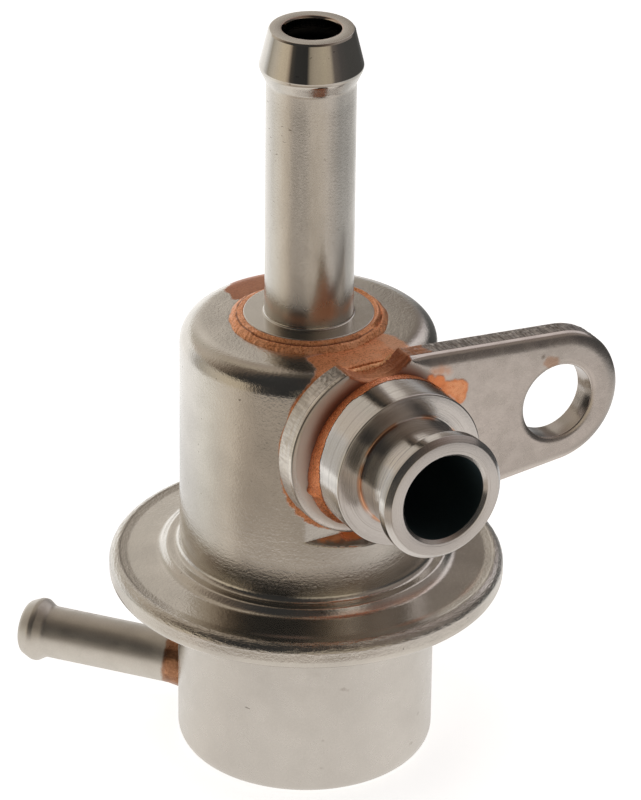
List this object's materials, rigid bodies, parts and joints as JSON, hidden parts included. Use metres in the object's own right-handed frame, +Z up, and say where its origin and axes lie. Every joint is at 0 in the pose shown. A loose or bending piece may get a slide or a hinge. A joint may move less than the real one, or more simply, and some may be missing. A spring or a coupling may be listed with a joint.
{
  "type": "fuel pressure regulator",
  "caption": "Diaphragm fuel pressure regulator: drawn steel body with rolled rim, side inlet port on a bolt bracket, barbed return pipe on top and a vacuum nipple on the spring cover.",
  "frame": {"origin": "centre of the flat base of the spring cover", "axes": "+Z up along the body and return pipe axis, -Y out along the inlet port, bracket towards +X"},
  "size_m": [0.0447, 0.0474, 0.0713],
  "materials": {
    "drawn_steel": "satin nickel-plated deep-drawn steel",
    "cover_steel": "satin nickel-plated drawn steel",
    "plate_steel": "satin stamped plate with sheared edges",
    "turned_steel": "bright turned steel with fine tool marks",
    "braze_copper": "grainy copper braze",
    "holder_brass": "turned brass",
    "diaphragm_rubber": "matt rubberised fabric",
    "spring_steel": "ground spring steel"
  },
  "bodies": {
    "housing": {"upper_housing": "drawn_steel", "lower_housing": "cover_steel", "return_pipe": "turned_steel", "inlet_port": "turned_steel", "mounting_bracket": "plate_steel", "vacuum_nipple": "turned_steel", "outlet_braze": "braze_copper", "port_braze": "braze_copper", "bracket_braze": "braze_copper", "nipple_braze": "braze_copper", "valve_seat": "turned_steel", "main_spring": "spring_steel"},
    "diaphragm_group": {"diaphragm": "diaphragm_rubber", "valve_holder": "holder_brass", "spring_plate": "cover_steel", "ball_retainer": "cover_steel", "ball_spring": "spring_steel"},
    "ball": {"valve_ball": "spring_steel"}
  },
  "joints": [
    {"name": "diaphragm_lift", "type": "slide", "parent": "housing", "child": "diaphragm_group", "axis": [0, 0, -1], "range_m": [0, 0.0008], "stiffness_N_per_m": 9400, "deforming": ["main_spring", "diaphragm"]},
    {"name": "ball_swivel", "type": "hinge", "parent": "diaphragm_group", "child": "ball", "pos_m": [0, 0, 0.022], "axis": [1, 0, 0], "range_deg": [-2, 2], "stiffness_Nm_per_rad": 0.02}
  ]
}
